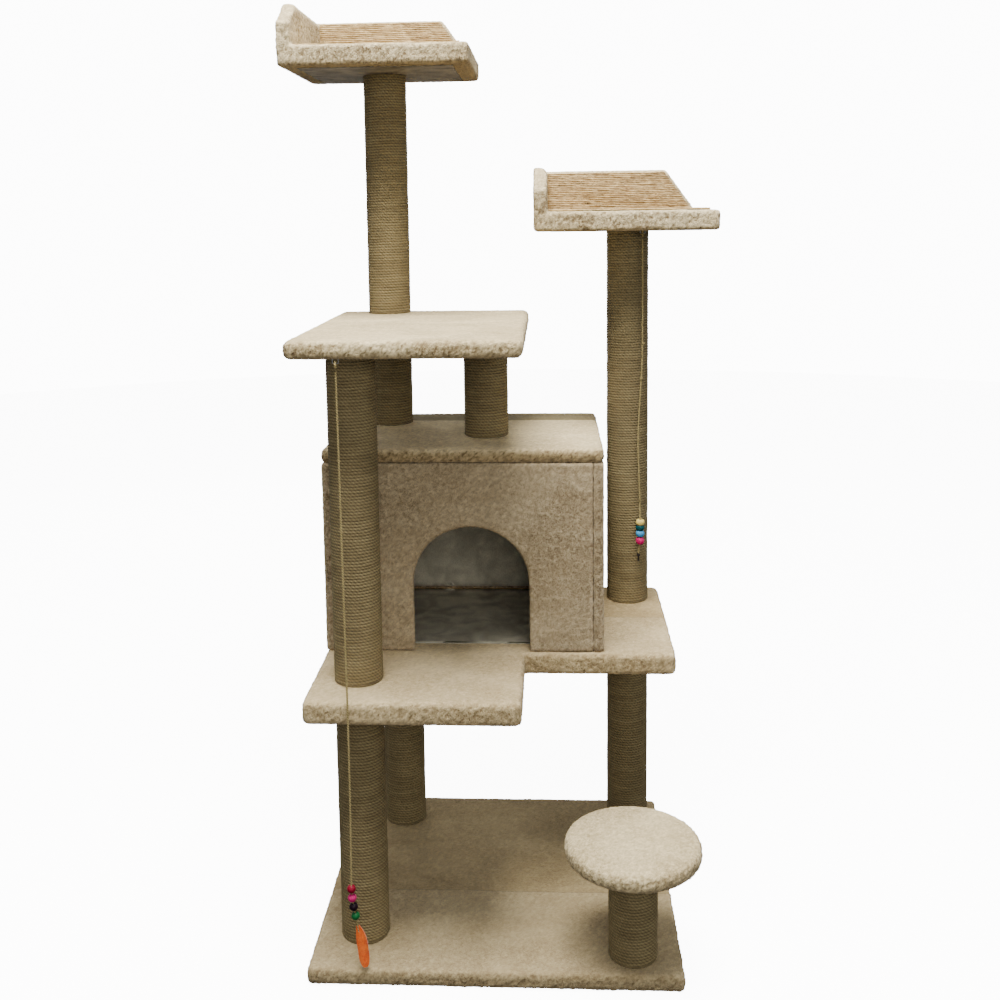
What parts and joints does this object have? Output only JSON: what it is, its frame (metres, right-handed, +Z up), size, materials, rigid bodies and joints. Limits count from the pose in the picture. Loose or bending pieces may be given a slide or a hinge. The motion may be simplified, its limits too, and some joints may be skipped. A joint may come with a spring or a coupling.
{
  "type": "cat tree",
  "caption": "Tall carpeted cat tree with rope-wound posts, a house with an arched door, winged perches, a round stool and hanging bead toys.",
  "frame": {"origin": "centre of the base's underside, on the floor", "axes": "+Z up, +Y to the rear (the doorway faces -Y), +X to the right seen from the front"},
  "size_m": [0.772, 0.726, 1.601],
  "materials": {
    "plush_carpet": "beige plush pile, matte",
    "jute_rope": "olive-brown wound jute, matte",
    "loop_mat": "pinkish-brown woven mat",
    "lining_cloth": "grey-brown non-woven cloth",
    "board": "raw chipboard",
    "cardboard": "wound cardboard tube",
    "pine": "turned pine",
    "zinc_steel": "zinc plated",
    "foam": "open-cell foam",
    "twine": "twisted twine",
    "bead_red": "lacquered wood",
    "bead_cream": "lacquered wood",
    "felt_orange": "orange felt",
    "dark_thread": "dark thread",
    "bead_pink": "lacquered wood",
    "bead_purple": "lacquered wood",
    "bead_green": "lacquered wood",
    "bead_teal": "lacquered wood",
    "bead_blue": "lacquered wood",
    "bead_magenta": "lacquered wood"
  },
  "bodies": {
    "tree": {"base_board": "board", "base_bolts": "zinc_steel", "base_carpet": "plush_carpet", "base_washers": "zinc_steel", "front_left_high_rope": "jute_rope", "front_left_low_rope": "jute_rope", "house_back_board": "board", "house_back_carpet": "plush_carpet", "house_front_board": "board", "house_front_carpet": "plush_carpet", "house_left_board": "board", "house_left_carpet": "plush_carpet", "house_right_board": "board", "house_right_carpet": "plush_carpet", "house_roof_board": "board", "house_roof_carpet": "plush_carpet", "house_screws": "zinc_steel", "left_toy_staple": "zinc_steel", "middle_platform_board": "board", "middle_platform_carpet": "plush_carpet", "perch_screws": "zinc_steel", "platform_bolts": "zinc_steel", "platform_washers": "zinc_steel", "post_end_plugs": "pine", "post_studs": "zinc_steel", "post_tubes": "cardboard", "rear_left_low_rope": "jute_rope", "rear_right_high_rope": "jute_rope", "rear_right_low_rope": "jute_rope", "right_perch_back_wing": "board", "right_perch_board": "board", "right_perch_carpet": "plush_carpet", "right_perch_lining": "lining_cloth", "right_perch_mat": "loop_mat", "right_perch_side_wing": "board", "right_toy_staple": "zinc_steel", "roof_middle_rope": "jute_rope", "roof_rear_rope": "jute_rope", "stool_board": "board", "stool_carpet": "plush_carpet", "stool_pad": "foam", "stool_rope": "jute_rope", "top_perch_back_wing": "board", "top_perch_board": "board", "top_perch_carpet": "plush_carpet", "top_perch_lining": "lining_cloth", "top_perch_mat": "loop_mat", "top_perch_side_wing": "board", "top_rope": "jute_rope", "upper_platform_board": "board", "upper_platform_carpet": "plush_carpet"},
    "left_loop": {"left_toy_loop": "twine"},
    "left_string": {"left_toy_string": "twine", "left_toy_beads": "bead_red", "left_toy_felt": "felt_orange"},
    "right_loop": {"right_toy_loop": "twine"},
    "right_string": {"right_toy_string": "twine", "right_toy_beads": "bead_cream", "right_toy_end_knot": "dark_thread"}
  },
  "joints": [
    {"name": "left_toy_forward", "type": "hinge", "parent": "tree", "child": "left_loop", "pos_m": [-0.227, -0.2735, 1.0084], "axis": [1, 0, 0], "range_deg": [-35, 0]},
    {"name": "left_toy_sideways", "type": "hinge", "parent": "left_loop", "child": "left_string", "pos_m": [-0.227, -0.2735, 0.99925], "axis": [0, 1, 0], "range_deg": [-20, 20]},
    {"name": "right_toy_forward", "type": "hinge", "parent": "tree", "child": "right_loop", "pos_m": [0.2677, 0.177, 1.1884], "axis": [1, 0, 0], "range_deg": [-35, 0]},
    {"name": "right_toy_sideways", "type": "hinge", "parent": "right_loop", "child": "right_string", "pos_m": [0.2677, 0.177, 1.17925], "axis": [0, 1, 0], "range_deg": [-25, 5.5]}
  ]
}
